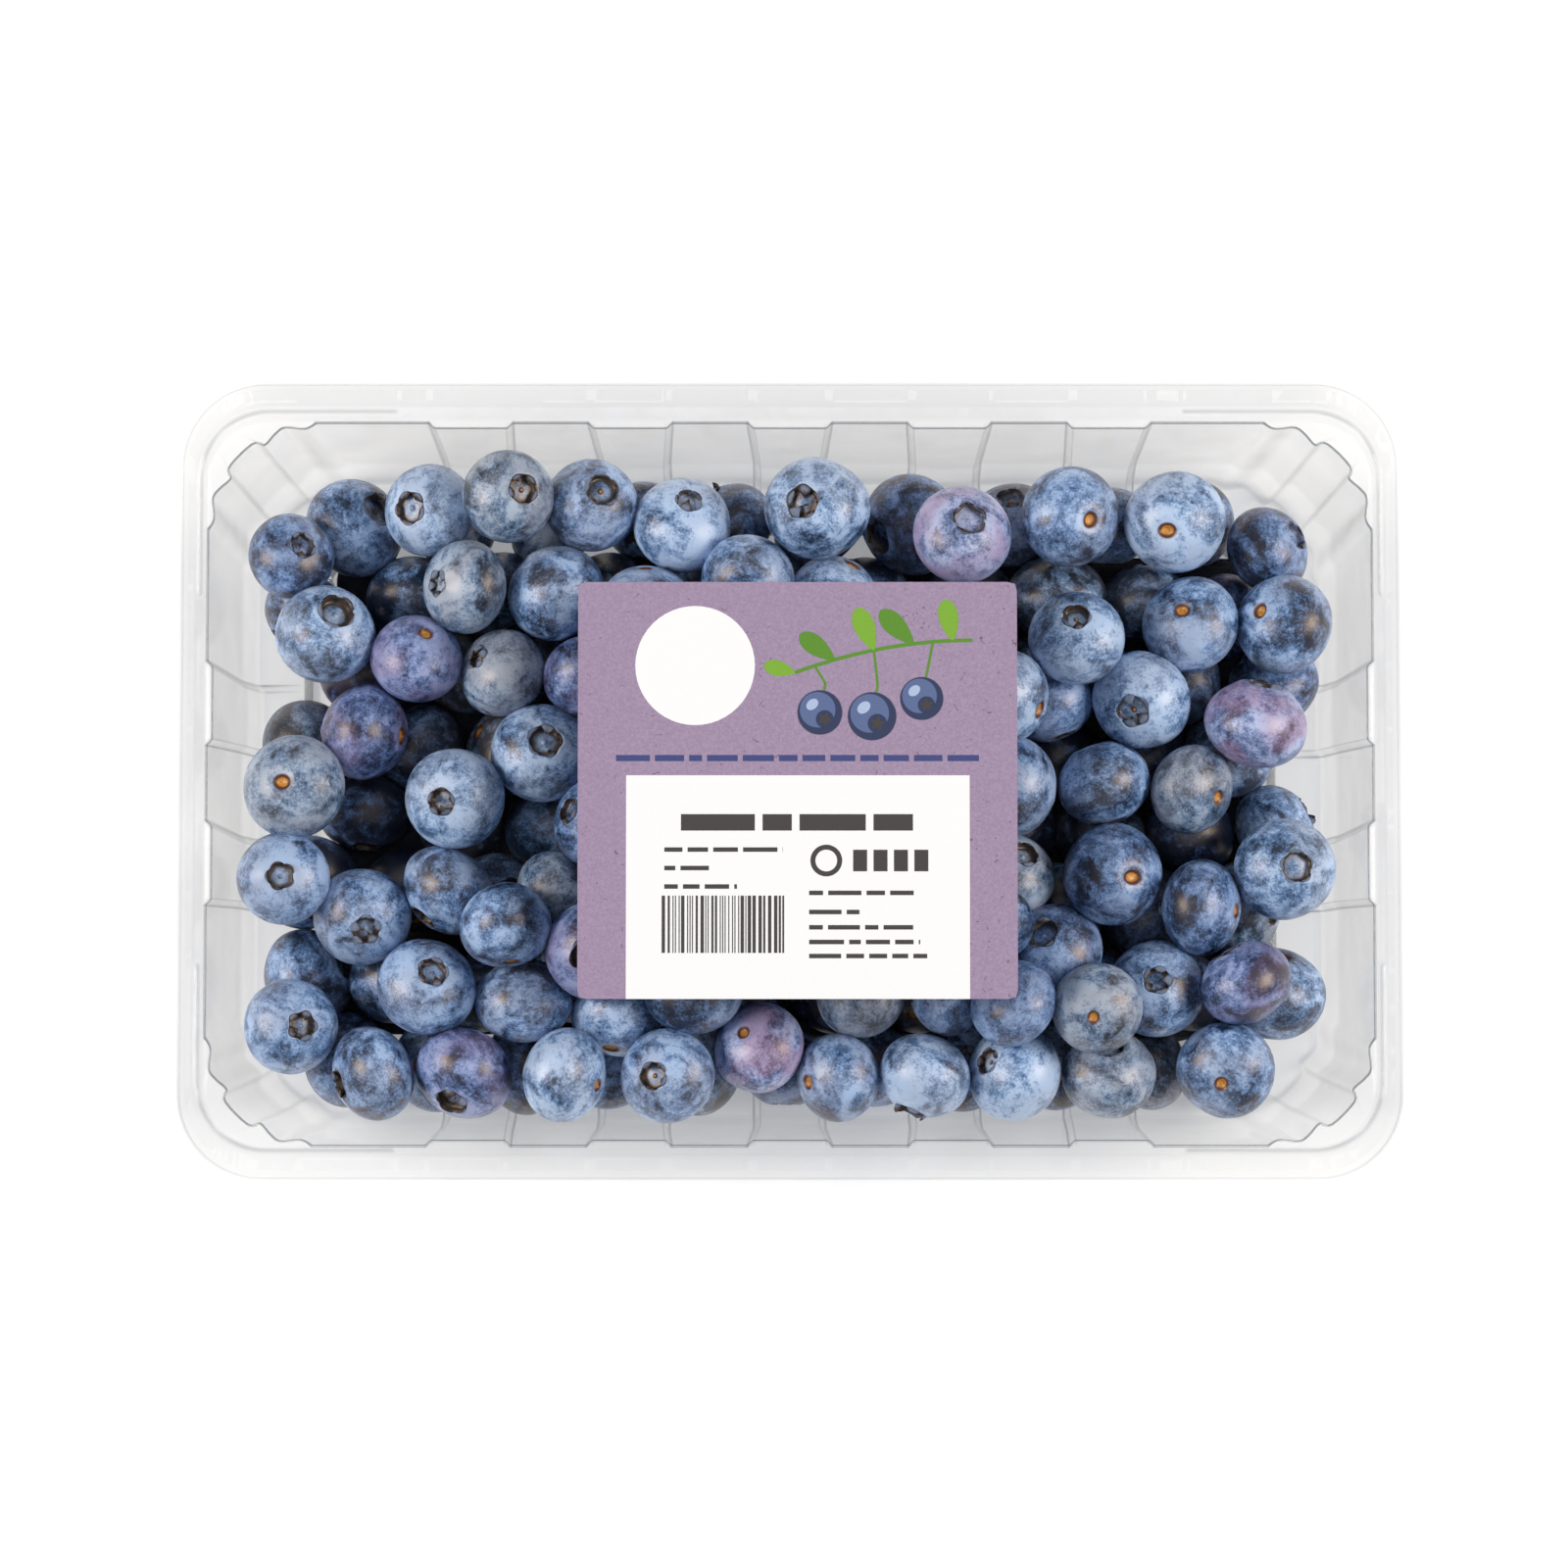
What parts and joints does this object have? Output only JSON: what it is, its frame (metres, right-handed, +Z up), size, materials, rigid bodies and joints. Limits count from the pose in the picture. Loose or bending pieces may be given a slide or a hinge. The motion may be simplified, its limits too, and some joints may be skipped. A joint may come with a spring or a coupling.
{
  "type": "punnet of blueberries",
  "caption": "Clear fluted oblong tray heaped with loose blueberries, shut by a clear film over its rim, with a square two-tone label stuck on the film.",
  "frame": {"origin": "under the middle of the tray, on the surface that it stands on", "axes": "+X along the long side of the tray, +Y across it, +Z up"},
  "size_m": [0.192, 0.1256, 0.0452],
  "materials": {
    "clear_tray": "thin clear thermoformed plastic, glossy, with bright edges and faint mould lines",
    "clear_film": "very thin clear lidding film, glossy and nearly unseen",
    "paper_label": "matt coated paper, mauve with fine speckle, with a white panel and plain printed bars",
    "berry_skin": "navy skin under a powdery blue-grey bloom, matt with a soft sheen",
    "berry_crown": "dry dark brown crown tissue, ragged and matt",
    "berry_shadow": "near-black inner core that fills the middle of the heap"
  },
  "bodies": {
    "root": {"tray": "clear_tray", "film": "clear_film", "label": "paper_label", "berries": "berry_skin"}
  },
  "joints": []
}
